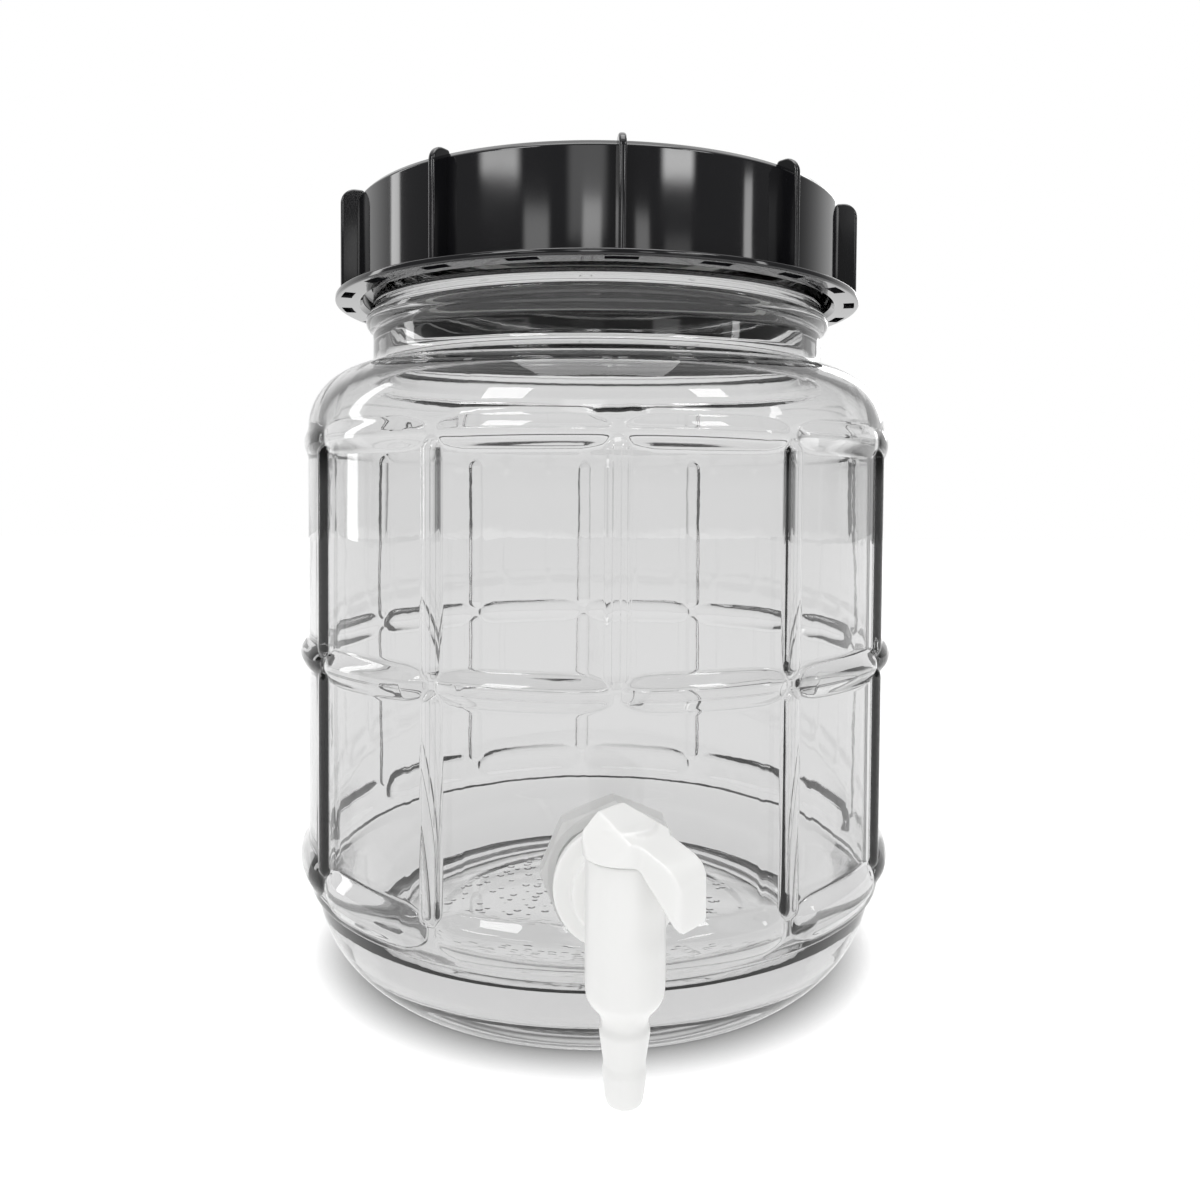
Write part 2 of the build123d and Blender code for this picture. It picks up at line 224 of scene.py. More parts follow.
@dataclass(frozen=True)
class ClearGlass:
    """Thick clear glass, pressed and fire polished, with a faint waviness."""

    tint: tuple[float, float, float] = (0.99, 0.99, 0.99)
    tint_drop: float = 0.985
    tint_scale: float = 9.0
    roughness: float = 0.0
    ior: float = 1.5
    smoke: tuple[float, float, float] = (0.65, 0.65, 0.65)
    density: float = 8.0
    wave_scale: float = 22.0
    wave_depth: float = 0.0006
    wave_strength: float = 0.25
    ripple_scale: float = 160.0
    ripple_share: float = 0.07
    dot_scale: float = 230.0
    dot_rim: tuple[float, float] = (0.12, 0.36)
    dot_depth: float = 0.0003
    dot_top: float = 0.0026
    dot_step: float = 0.0004
    dot_reach: float = 0.050
    dot_fade: float = 0.005

    def make(self) -> bpy.types.Material:
        """The material."""
        material = bpy.data.materials.new("clear_glass")
        graph = Graph(material)
        streak = graph.speckle(self.wave_scale, 2.0) + self.ripple_share * graph.speckle(
            self.ripple_scale, 2.0)
        tint = graph.shade(tuple(self.tint_drop * c for c in self.tint), self.tint,
                           graph.speckle(self.tint_scale))
        spots = graph.add("ShaderNodeTexVoronoi", None,
                          {"Vector": graph.place(), "Scale": self.dot_scale}, "Distance")
        away = graph.add("ShaderNodeVectorMath", {"operation": "LENGTH"}, {0: graph.place()}, "Value")
        underside = (graph.part(graph.place(), "Z").rise(self.dot_top, self.dot_top - self.dot_step)
                     * away.rise(self.dot_reach + self.dot_fade, self.dot_reach))
        waved = graph.bump(streak, self.wave_depth, self.wave_strength)
        pressed = graph.add("ShaderNodeBump", None, {
            "Height": spots.rise(*self.dot_rim) * underside, "Distance": self.dot_depth,
            "Strength": 1.0, "Normal": waved,
        })
        surface = graph.add("ShaderNodeBsdfPrincipled", None, {
            "Base Color": tint,
            "Roughness": self.roughness,
            "IOR": self.ior,
            "Transmission Weight": 1.0,
            "Normal": pressed,
        })
        smoke = graph.add("ShaderNodeVolumeAbsorption", None,
                          {"Color": (*self.smoke, 1.0), "Density": self.density})
        graph.finish(surface, volume=smoke)
        return material


@dataclass(frozen=True)
class Moulding:
    """Moulded plastic or rubber, with the fine uneven skin that a steel mould leaves."""

    name: str
    low: tuple[float, float, float]
    high: tuple[float, float, float]
    roughness: float
    roughness_spread: float = 0.06
    cloud_scale: float = 60.0
    skin_scale: float = 900.0
    skin_depth: float = 0.00004
    skin_strength: float = 0.3
    sink_scale: float = 40.0
    sink_depth: float = 0.0004
    sink_strength: float = 0.1
    glow: float = 0.0
    glow_depth: float = 0.003
    ior: float = 1.5

    def make(self) -> bpy.types.Material:
        """The material."""
        material = bpy.data.materials.new(self.name)
        graph = Graph(material)
        cloud = graph.speckle(self.cloud_scale, 4.0)
        skin = graph.speckle(self.skin_scale, 2.0)
        sink = graph.bump(graph.speckle(self.sink_scale, 1.0), self.sink_depth, self.sink_strength)
        normal = graph.add("ShaderNodeBump", None, {
            "Height": skin, "Distance": self.skin_depth, "Strength": self.skin_strength,
            "Normal": sink,
        })
        surface = graph.add("ShaderNodeBsdfPrincipled", None, {
            "Base Color": graph.shade(self.low, self.high, cloud),
            "Roughness": self.roughness + self.roughness_spread * (cloud - 0.5),
            "IOR": self.ior,
            "Subsurface Weight": self.glow,
            "Subsurface Radius": (1.0, 1.0, 1.0),
            "Subsurface Scale": self.glow_depth,
            "Normal": normal,
        })
        graph.finish(surface)
        return material


CLEAR_GLASS = ClearGlass()
BLACK_GLOSS = Moulding("black_gloss", (0.004, 0.004, 0.005), (0.007, 0.007, 0.008), 0.07,
                       roughness_spread=0.05, skin_scale=500.0, skin_strength=0.015,
                       sink_scale=30.0, sink_depth=0.0006, sink_strength=0.2)
WHITE_TAP = Moulding("white_tap_plastic", (0.80, 0.80, 0.79), (0.83, 0.83, 0.82), 0.36, glow=0.25)
NUT_NATURAL = Moulding("natural_nut_plastic", (0.90, 0.90, 0.89), (0.94, 0.94, 0.93), 0.42)
SOFT_WASHER = Moulding("washer_rubber", (0.62, 0.63, 0.62), (0.68, 0.69, 0.68), 0.6)
SEAL_FOAM = Moulding("seal_foam", (0.78, 0.78, 0.76), (0.83, 0.83, 0.81), 0.75, skin_scale=2500.0,
                     skin_depth=0.00008)


# Mesh tools


def arc(centre: Point, radius: float, start: float, end: float, steps: int) -> list[Point]:
    """Points along an arc of a section, in so many pieces, with both ends."""
    angles = [math.radians(start + (end - start) * k / steps) for k in range(steps + 1)]
    return [(centre[0] + radius * math.cos(a), centre[1] + radius * math.sin(a)) for a in angles]


def run(start: Point, end: Point, steps: int) -> list[Point]:
    """Points along a straight run of a section, in so many pieces, without the last."""
    return [(start[0] + (end[0] - start[0]) * k / steps, start[1] + (end[1] - start[1]) * k / steps)
            for k in range(steps)]


def rounded(points: Sequence[Point], radii: dict[int, float], steps: int = 4) -> list[Point]:
    """A section with some of its corners rounded.

    Args:
        points: the corners.
        radii: how far the rounding reaches from each rounded corner, by its number.
        steps: pieces in each rounding.

    Returns:
        The points of the rounded section.
    """
    made: list[Point] = []
    for number, point in enumerate(points):
        reach = radii.get(number, 0.0)
        if not reach:
            made.append(point)
            continue
        here = Vector(point)
        before = Vector(points[number - 1]) - here
        after = Vector(points[(number + 1) % len(points)]) - here
        first = here + before.normalized() * min(reach, before.length / 2)
        last = here + after.normalized() * min(reach, after.length / 2)
        for k in range(steps + 1):
            t = k / steps
            spot = first * (1 - t) ** 2 + here * 2 * t * (1 - t) + last * t**2
            made.append((spot.x, spot.y))
    return made


def turn(bm: bmesh.types.BMesh, section: Sequence[Point], steps: int,
         closed: bool = False) -> list[bmesh.types.BMVert]:
    """Spins a section of radius and height round Z.

    Args:
        bm: the mesh that it joins.
        section: the section's points, in millimetres.
        steps: pieces in the full turn.
        closed: whether the section's last point joins its first.

    Returns:
        The vertices that it made.
    """
    known = set(bm.verts)
    line = [bm.verts.new((r * MM, 0.0, z * MM)) for r, z in section]
    edges = [bm.edges.new(pair) for pair in zip(line, line[1:])]
    if closed:
        edges.append(bm.edges.new((line[-1], line[0])))
    bmesh.ops.spin(bm, geom=line + edges, cent=(0, 0, 0), axis=(0, 0, 1), dvec=(0, 0, 0),
                   angle=math.tau, steps=steps, use_merge=True)
    made = [v for v in bm.verts if v not in known]
    bmesh.ops.remove_doubles(bm, verts=made, dist=1e-6)
    return [v for v in bm.verts if v not in known]


def turn_in_spans(bm: bmesh.types.BMesh, section: Sequence[Point], start: float, count: int,
                  spans: tuple[tuple[float, int], ...]) -> None:
    """Spins a section once round Z, in spans that repeat and have steps of their own width.

    Args:
        bm: the mesh that it fills.
        section: the section's points, in millimetres.
        start: the angle round Z that it starts at.
        count: how often the spans repeat.
        spans: angle and steps of each.
    """
    first = Matrix.Rotation(math.radians(start), 3, "Z")
    line = [bm.verts.new(first @ Vector((r * MM, 0, z * MM))) for r, z in section]
    last: list = line + [bm.edges.new(pair) for pair in zip(line, line[1:])]
    for angle, steps in spans * count:
        made = bmesh.ops.spin(bm, geom=last, cent=(0, 0, 0), axis=(0, 0, 1), dvec=(0, 0, 0),
                              angle=math.radians(angle), steps=steps, use_merge=False)
        last = made["geom_last"]
    bmesh.ops.remove_doubles(bm, verts=bm.verts[:], dist=2e-6)


def prism(bm: bmesh.types.BMesh, outline: Sequence[Point], depth: float, bevel: float = 0.0,
          segments: int = 1) -> list[bmesh.types.BMVert]:
    """Extrudes an outline of X and Z along Y, the same distance each way.

    Args:
        bm: the mesh that it joins.
        outline: the outline's points, in millimetres.
        depth: the whole depth.
        bevel: how far its rims are rounded.
        segments: pieces in the rounding.

    Returns:
        The vertices that it made.
    """
    known = set(bm.verts)
    face = bm.faces.new([bm.verts.new((x * MM, -depth / 2 * MM, z * MM)) for x, z in outline])
    grown = bmesh.ops.extrude_face_region(bm, geom=[face])
    bmesh.ops.translate(bm, verts=[g for g in grown["geom"] if isinstance(g, bmesh.types.BMVert)],
                        vec=(0, depth * MM, 0))
    made = [v for v in bm.verts if v not in known]
    if bevel:
        rims = {e for v in made for e in v.link_edges
                if abs(e.verts[0].co.y - e.verts[1].co.y) < 1e-7}
        bmesh.ops.bevel(bm, geom=list(rims), offset=bevel * MM, segments=segments, profile=0.5,
                        affect="EDGES", material=-1, offset_type="OFFSET", clamp_overlap=True)
    return [v for v in bm.verts if v not in known]


def to_object(bm: bmesh.types.BMesh, name: str, material: bpy.types.Material,
              sharp: float = 35.0, mend: bool = True) -> bpy.types.Object:
    """Makes an object of a bmesh, with smooth faces and sharp creases.

    Args:
        bm: the mesh.
        name: the object's name.
        material: its finish.
        sharp: the angle past which an edge stays sharp.
        mend: whether the faces are turned outwards.

    Returns:
        The object, at the origin.
    """
    if mend:
        bmesh.ops.recalc_face_normals(bm, faces=bm.faces[:])
    for f in bm.faces:
        f.smooth = True
    for e in bm.edges:
        e.smooth = len(e.link_faces) != 2 or e.calc_face_angle(0.0) < math.radians(sharp)
    mesh = bpy.data.meshes.new(name)
    bm.to_mesh(mesh)
    bm.free()
    mesh.materials.append(material)
    made = bpy.data.objects.new(name, mesh)
    bpy.context.scene.collection.objects.link(made)
    return made


def apply_modifiers(piece: bpy.types.Object) -> None:
    """Makes a piece's modifiers part of its mesh.

    Args:
        piece: the object.
    """
    graph = bpy.context.evaluated_depsgraph_get()
    mesh = bpy.data.meshes.new_from_object(piece.evaluated_get(graph))
    old, piece.data = piece.data, mesh
    piece.modifiers.clear()
    bpy.data.meshes.remove(old)


def carve(piece: bpy.types.Object, tool: bpy.types.Object, operation: str) -> None:
    """Cuts a piece with a tool, which is then gone.

    Args:
        piece: the piece.
        tool: what it is cut with.
        operation: INTERSECT or DIFFERENCE.
    """
    cut = piece.modifiers.new("cut", "BOOLEAN")
    cut.operation = operation
    cut.solver = "EXACT"
    cut.object = tool
    apply_modifiers(piece)
    bpy.data.objects.remove(tool)


def mount(piece: bpy.types.Object, body: Body, node: str) -> None:
    """Ties a piece to the frame.

    Args:
        piece: the object.
        body: the body that it moves with.
        node: the CAD node that it stands for.
    """
    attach(piece, body.value)
    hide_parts(node)
    log.info("%s: %d faces on %s", piece.name, len(piece.data.polygons), body.value)


# The jar


@dataclass
class Jar:
    """The glass jar: one shell from the middle of its underside, over the rim, to its floor."""

    wall_r: float = 95.0
    wall_t: float = 4.0
    floor_z: float = 8.0
    punt_z: float = 2.0
    punt_r: float = 66.3
    foot_in: Point = (71.5, 0.1)
    foot_flat: float = 1.4
    foot_edge: Point = (0.6, 0.12)
    foot_lift: float = 0.6
    heel: Point = (58.6, 27.0)
    heel_r: float = 34.0
    heel_top_z: float = 24.0
    groove: Point = (0.1, 1.3)
    ledge: Point = (0.3, 2.0)
    inner_heel_z: float = 24.5
    inner_heel_reach: float = 8.0
    inner_floor_r: float = 71.0
    inner_corner: float = 8.0
    shoulder: Point = (75.0, 170.0)
    shoulder_r: float = 20.0
    shoulder_slope: float = 11.0
    neck_r: float = 74.7
    neck_fillet: float = 3.5
    bead_z: float = 202.0
    bead_h: float = 6.5
    bead_proud: float = 2.3
    bead_steps: int = 12
    bead_power: float = 0.7
    rim_z: float = 238.3
    rim_round: float = 1.6
    proud: float = 2.6
    bands: tuple[tuple[float, float, float], ...] = (
        (34.6, 6.6, 1.0), (99.5, 5.0, 1.0), (165.4, 4.6, 0.5),
    )
    rib_count: int = 12
    rib_half: float = 3.2
    rib_round: float = 0.8
    rib_share: float = 0.65
    rib_end: float = 0.75
    rib_fine: float = 4.4
    rib_near: float = 9.0
    crossing_gap: float = 2.2
    mid_margin: float = 3.0
    low_margin: float = 4.0
    top_margin: float = 8.0
    tap_turn: float = -90.0
    tap_z: float = 52.2
    pad_r: float = 16.0
    pad_fade: float = 1.5
    hole_r: float = 11.0
    thread_z: float = 217.5
    thread_pitch: float = 8.0
    thread_turns: float = 1.5
    thread_depth: float = 2.2
    thread_half: float = 2.0
    thread_fade: float = 14.0
    thread_flank: float = 1.55
    band_taper: float = 11.0
    band_start: float = 0.4
    band_swell: float = 0.6
    band_least: float = 0.05
    band_slim: float = 0.45
    band_round: float = 1.25
    melt: float = 5.0
    wave_depth: float = 0.13
    wave_length: float = 18.0
    wave_stretch: float = 0.4
    ripple_depth: float = 0.03
    ripple_length: float = 4.0

    def outside(self) -> list[Point]:
        """The section from the middle of the underside up to the rim."""
        heel_start = -math.degrees(math.asin((self.heel[1] - self.foot_lift) / self.heel_r))
        heel_end = -math.degrees(math.asin((self.heel[1] - self.heel_top_z) / self.heel_r))
        heel = arc(self.heel, self.heel_r, heel_start, heel_end, 14)
        foot_r = heel[0][0]
        (low, low_h, _), (mid, mid_h, _), (top, _, _) = self.bands
        wall = self.wall_r
        band_foot = low - low_h
        low_head = low + low_h + self.low_margin
        mid_foot = mid - mid_h - self.mid_margin
        mid_head = mid + mid_h + self.mid_margin
        top_foot = top - self.top_margin
        over = arc(self.shoulder, self.shoulder_r, 0, 90 - self.shoulder_slope, 16)
        slope = math.radians(self.shoulder_slope)
        fillet_x = self.neck_r + self.neck_fillet
        crown = self.shoulder[1] + self.shoulder_r / math.cos(slope)
        fillet_z = (crown - (fillet_x - self.shoulder[0]) * math.tan(slope)
                    + self.neck_fillet / math.cos(slope))
        into = arc((fillet_x, fillet_z), self.neck_fillet, 270 - self.shoulder_slope, 180, 6)
        bead = [(self.neck_r + self.bead_proud * math.sin(math.pi * k / self.bead_steps) ** self.bead_power,
                 self.bead_z + self.bead_h * k / self.bead_steps) for k in range(self.bead_steps + 1)]
        rim = arc((self.neck_r - self.rim_round, self.rim_z - self.rim_round), self.rim_round, 0, 90, 5)
        return [
            *run((0, self.punt_z), (self.punt_r, self.punt_z), 6),
            *run((self.punt_r, self.punt_z), self.foot_in, 3),
            *run(self.foot_in, (foot_r - self.foot_flat, 0.0), 3),
            (foot_r - self.foot_flat, 0.0),
            (foot_r - self.foot_edge[0], self.foot_edge[1]),
            *heel,
            *rounded([heel[-1], (heel[-1][0] + self.groove[0], self.heel_top_z + self.groove[1]),
                      (wall - self.ledge[0], self.heel_top_z + self.ledge[1]), (wall, band_foot)],
                     {1: 0.9, 2: 0.8}, 4)[1:-1],
            *run((wall, band_foot), (wall, low_head), 28),
            *run((wall, low_head), (wall, mid_foot), 4),
            *run((wall, mid_foot), (wall, mid_head), 24),
            *run((wall, mid_head), (wall, top_foot), 4),
            *run((wall, top_foot), (wall, self.shoulder[1]), 20),
            *over,
            *into,
            *run((self.neck_r, into[-1][1] + 0.8), bead[0], 2),
            *bead,
            *run((self.neck_r, self.bead_z + self.bead_h + 2.5), (self.neck_r, self.rim_z - 5), 28),
            (self.neck_r, self.rim_z - 5),
            *rim,
        ]

    def inside(self) -> list[Point]:
        """The section from the rim down to the middle of the floor."""
        neck_in = self.neck_r - self.wall_t
        slope = math.radians(self.shoulder_slope)
        inner_r = self.shoulder_r - self.wall_t
        over = arc(self.shoulder, inner_r, 90 - self.shoulder_slope, 0, 12)
        crown = self.shoulder[1] + inner_r / math.cos(slope)
        round_r = self.neck_fillet + self.wall_t
        round_x = neck_in + round_r
        round_z = (crown - (round_x - self.shoulder[0]) * math.tan(slope) + round_r / math.cos(slope))
        out_of = arc((round_x, round_z), round_r, 180, 270 - self.shoulder_slope, 6)
        rim = arc((neck_in + self.rim_round, self.rim_z - self.rim_round), self.rim_round, 90, 180, 5)
        wall_in = self.wall_r - self.wall_t
        heel = rounded([(wall_in, self.inner_heel_z + 12), (wall_in, self.inner_heel_z),
                        (self.inner_floor_r, self.floor_z), (self.inner_floor_r - 12, self.floor_z)],
                       {1: self.inner_heel_reach, 2: self.inner_corner}, 8)
        return [
            *rim,
            *run((neck_in, self.rim_z - 12), out_of[0], 2),
            *out_of,
            *over,
            *run((wall_in, self.shoulder[1] - 6), heel[0], 8),
            *heel,
            *run((heel[-1][0] - 8, self.floor_z), (0, self.floor_z), 6),
            (0, self.floor_z),
        ]

    def relief(self, angle: float, z: float) -> float:
        """How far the ribs and bands stand out of the wall.

        Args:
            angle: angle round the jar, from the tap.
            z: height.

        Returns:
            The height of the relief, in millimetres.
        """
        step = 360.0 / self.rib_count
        nearest = round(angle / step)
        across = (angle - nearest * step) * math.radians(self.wall_r)
        parts = []
        at_tap = nearest % self.rib_count == 0
        for row in range(len(self.bands) - 1):
            if row == 0 and at_tap:
                continue
            foot = self.bands[row][0] + self.crossing_gap + self.rib_half * self.rib_end
            head = self.bands[row + 1][0] - self.crossing_gap - self.rib_half * self.rib_end
            away = max(foot - z, z - head, 0.0)
            parts.append(math.hypot(across, away) / self.rib_half)
        lifts = [self.rib_share * max(1 - d * d, 0.0) ** self.rib_round for d in parts]
        for number, (middle, half, share) in enumerate(self.bands):
            plain = number == 0 and at_tap
            begun = (abs(across) - self.rib_half * self.band_start) / self.band_taper
            t = 1.0 if plain else min(max(begun, 0.0), 1.0)
            full = math.sin(math.pi / 2 * t) ** self.band_swell
            if full > self.band_least:
                d = (z - middle) / (half * (self.band_slim + (1 - self.band_slim) * full))
                lifts.append(share * full * max(1 - d * d, 0.0) ** self.band_round)
        total = sum(lift**self.melt for lift in lifts) ** (1 / self.melt)
        return self.proud * min(total, 1.0)

    def thread(self, angle: float, z: float) -> float:
        """How far the screw thread stands out of the neck.

        Args:
            angle: angle round the jar from +X.
            z: height.

        Returns:
            The height of the thread, in millimetres.
        """
        best = 0.0
        for lap in range(2):
            travel = angle % 360 + 360 * lap
            if travel > 360 * self.thread_turns:
                continue
            middle = self.thread_z + self.thread_pitch * travel / 360
            fade = min(travel, 360 * self.thread_turns - travel, self.thread_fade) / self.thread_fade
            flank = self.thread_flank * (1 - abs(z - middle) / self.thread_half)
            best = max(best, fade * self.thread_depth * max(0.0, min(1.0, flank)))
        return best

    def push(self, vert: bmesh.types.BMVert) -> None:
        """Moves one vertex of the plain shell to where the relief, thread and waviness put it.

        Args:
            vert: the vertex.
        """
        x, y, z = (c / MM for c in vert.co)
        r = math.hypot(x, y)
        if r < 1e-3:
            return
        angle = math.degrees(math.atan2(y, x))
        lift = 0.0
        if r > self.wall_r - 0.1 and self.bands[0][0] - self.bands[0][1] <= z <= self.shoulder[1] + 0.1:
            lift = self.relief(angle - self.tap_turn, z)
            near = math.hypot(x, z - self.tap_z) if y < 0 else self.wall_r
            lift *= min(max((near - self.pad_r) / self.pad_fade, 0.0), 1.0)
        elif abs(r - self.neck_r) < 0.1 and self.bead_z + self.bead_h + 1 < z < self.rim_z - 3:
            lift = self.thread(angle, z)
        elif abs(r - (self.wall_r - self.wall_t)) < 0.1:
            lift = (self.wave_depth * noise.noise(Vector((x, y, z * self.wave_stretch)) / self.wave_length)
                    + self.ripple_depth * noise.noise(Vector((x, y, z)) / self.ripple_length))
        vert.co.x *= (r + lift) / r
        vert.co.y *= (r + lift) / r

    def build(self) -> None:
        """Spins the shell in steps that are finest across the ribs, and cuts the tap's hole."""
        bm = bmesh.new()
        step = 360.0 / self.rib_count
        near = math.degrees(self.rib_near / self.wall_r)
        inner = math.degrees(self.rib_fine / self.wall_r)
        turn_in_spans(bm, self.outside() + self.inside(), self.tap_turn - step / 2, self.rib_count, (
            (step / 2 - near, 3), (near - inner, 5), (2 * inner, 16), (near - inner, 5),
            (step / 2 - near, 3),
        ))
        for vert in bm.verts:
            self.push(vert)
        jar = to_object(bm, "glass_jar", CLEAR_GLASS.make(), sharp=80.0)
        self.cut_hole(jar)
        mount(jar, Body.JAR, "jar")

    def cut_hole(self, jar: bpy.types.Object) -> None:
        """Cuts the hole that the tap's shank goes through.

        Args:
            jar: the jar.
        """
        bm = bmesh.new()
        bmesh.ops.create_cone(bm, cap_ends=True, segments=64, radius1=self.hole_r * MM,
                              radius2=self.hole_r * MM, depth=self.wall_r * MM)
        bmesh.ops.rotate(bm, verts=bm.verts[:], cent=(0, 0, 0), matrix=Matrix.Rotation(math.pi / 2, 3, "X"))
        bmesh.ops.translate(bm, verts=bm.verts[:], vec=(0, -self.wall_r * MM, self.tap_z * MM))
        carve(jar, to_object(bm, "hole_cutter", jar.data.materials[0]), "DIFFERENCE")


# The lid


@dataclass
class Lid:
    """The screw lid: cap, slotted flange, fins and inner thread."""

    inner_r: float = 77.8
    outer_r: float = 80.0
    flange_r: float = 86.6
    foot_z: float = 210.9
    flange_z: float = 212.8
    under_z: float = 240.2
    top_z: float = 242.7
    bevel: float = 1.5
    mouth: float = 1.3
    tap_turn: float = -90.0
    fin_count: int = 10
    fin_turn: float = 1.0
    fin_t: float = 2.1
    fin_reach: float = 5.7
    fin_root: float = 1.6
    fin_rise: float = 0.8
    fin_sink: float = 0.4
    fin_corner: float = 4.5
    fin_inner: float = 1.0
    fin_bevel: float = 0.75
    slot_count: int = 20
    slot_l: float = 9.0
    slot_w: float = 3.3
    slot_margin: float = 1.45
    thread_start: float = 90.0
    thread_z: float = 215.5
    thread_pitch: float = 8.0
    thread_tip_r: float = 75.4
    thread_sink: float = 0.6
    thread_root: float = 2.2
    thread_crest: float = 0.9
    thread_steps: int = 120

    def build(self) -> None:
        """Turns the cap, opens the flange's slots and adds the fins and thread."""
        bm = bmesh.new()
        self.turn_cap(bm)
        self.open_slots(bm)
        for number in range(self.fin_count):
            self.add_fin(bm, self.tap_turn + self.fin_turn + number * 360 / self.fin_count)
        self.add_thread(bm)
        lid = to_object(bm, "screw_lid", BLACK_GLOSS.make(), sharp=32.0)
        even = lid.modifiers.new("even", "WEIGHTED_NORMAL")
        even.keep_sharp = True
        apply_modifiers(lid)
        mount(lid, Body.LID, "lid")

    def slot_span(self) -> tuple[float, float, float]:
        """Inner and outer radius of the slots, and half of the angle that each takes."""
        outer = self.flange_r - self.slot_margin
        inner = outer - self.slot_w
        return inner, outer, math.degrees(self.slot_l / (inner + outer))

    def turn_cap(self, bm: bmesh.types.BMesh) -> None:
        """Spins the cap's section, with columns that meet the ends of the slots.

        Args:
            bm: the mesh that it fills.
        """
        slot_in, slot_out, half = self.slot_span()
        section = rounded([
            (0, self.top_z),
            (self.outer_r - self.bevel, self.top_z),
            (self.outer_r, self.top_z - self.bevel),
            (self.outer_r, self.flange_z),
            (slot_in, self.flange_z),
            (slot_out, self.flange_z),
            (self.flange_r, self.flange_z),
            (self.flange_r, self.foot_z),
            (slot_out, self.foot_z),
            (slot_in, self.foot_z),
            (self.inner_r + self.mouth, self.foot_z),
            (self.inner_r, self.foot_z + self.mouth),
            (self.inner_r, self.under_z),
            (0, self.under_z),
        ], {1: 0.45, 2: 0.45, 3: 0.7, 6: 0.7, 7: 0.6, 10: 0.3, 11: 0.3, 12: 1.2})
        turn_in_spans(bm, section, self.tap_turn + self.fin_turn - half, self.slot_count,
                      ((2 * half, 4), (360 / self.slot_count - 2 * half, 8)))
        bmesh.ops.recalc_face_normals(bm, faces=bm.faces[:])

    def open_slots(self, bm: bmesh.types.BMesh) -> None:
        """Takes the flange's faces out at each slot, and joins the two openings with a wall.

        Args:
            bm: the mesh.
        """
        slot_in, slot_out, half = self.slot_span()
        step = 360 / self.slot_count
        found: dict[int, list[bmesh.types.BMFace]] = {}
        for face in bm.faces:
            middle = face.calc_center_median() / MM
            radius = math.hypot(middle.x, middle.y)
            turned = math.degrees(math.atan2(middle.y, middle.x)) - self.tap_turn - self.fin_turn
            number = round(turned / step)
            if (slot_in < radius < slot_out and abs(turned - number * step) < half
                    and abs(face.normal.z) > 0.9 and middle.z < self.flange_z + 0.1):
                found.setdefault(number % self.slot_count, []).append(face)
        for faces in found.values():
            rims = [e for f in faces for e in f.edges
                    if sum(other in faces for other in e.link_faces) == 1]
            bmesh.ops.delete(bm, geom=faces, context="FACES")
            bmesh.ops.bridge_loops(bm, edges=[e for e in rims if e.is_valid])

    def add_fin(self, bm: bmesh.types.BMesh, angle: float) -> None:
        """Adds one upright fin.

        Args:
            bm: the mesh that it joins.
            angle: angle round the lid.
        """
        root = self.outer_r - self.fin_root
        tip = self.outer_r + self.fin_reach
        head = self.top_z + self.fin_rise
        outline = [
            (root, self.flange_z - self.fin_sink),
            (tip, self.flange_z - self.fin_sink),
            *arc((tip - self.fin_corner, head - self.fin_corner), self.fin_corner, 0, 90, 10),
            *arc((root + self.fin_inner, head - self.fin_inner), self.fin_inner, 90, 180, 3),
        ]
        made = prism(bm, outline, self.fin_t, self.fin_bevel, 4)
        bmesh.ops.rotate(bm, verts=made, cent=(0, 0, 0),
                         matrix=Matrix.Rotation(math.radians(angle), 3, "Z"))

    def add_thread(self, bm: bmesh.types.BMesh) -> None:
        """Adds the inner thread, one turn of a tapered ridge.

        Args:
            bm: the mesh that it joins.
        """
        root_r = self.inner_r + self.thread_sink
        section = [
            (root_r, -self.thread_root), (self.thread_tip_r, -self.thread_crest),
            (self.thread_tip_r, self.thread_crest), (root_r, self.thread_root),
        ]
        start = Matrix.Rotation(math.radians(self.thread_start), 3, "Z")
        ring = [bm.verts.new(start @ Vector((r * MM, 0, (self.thread_z + z) * MM))) for r, z in section]
        bmesh.ops.spin(bm, geom=[bm.faces.new(ring)], cent=(0, 0, 0), axis=(0, 0, 1),
                       dvec=(0, 0, self.thread_pitch * MM / self.thread_steps), angle=math.tau,
                       steps=self.thread_steps, use_merge=False)


# The tap


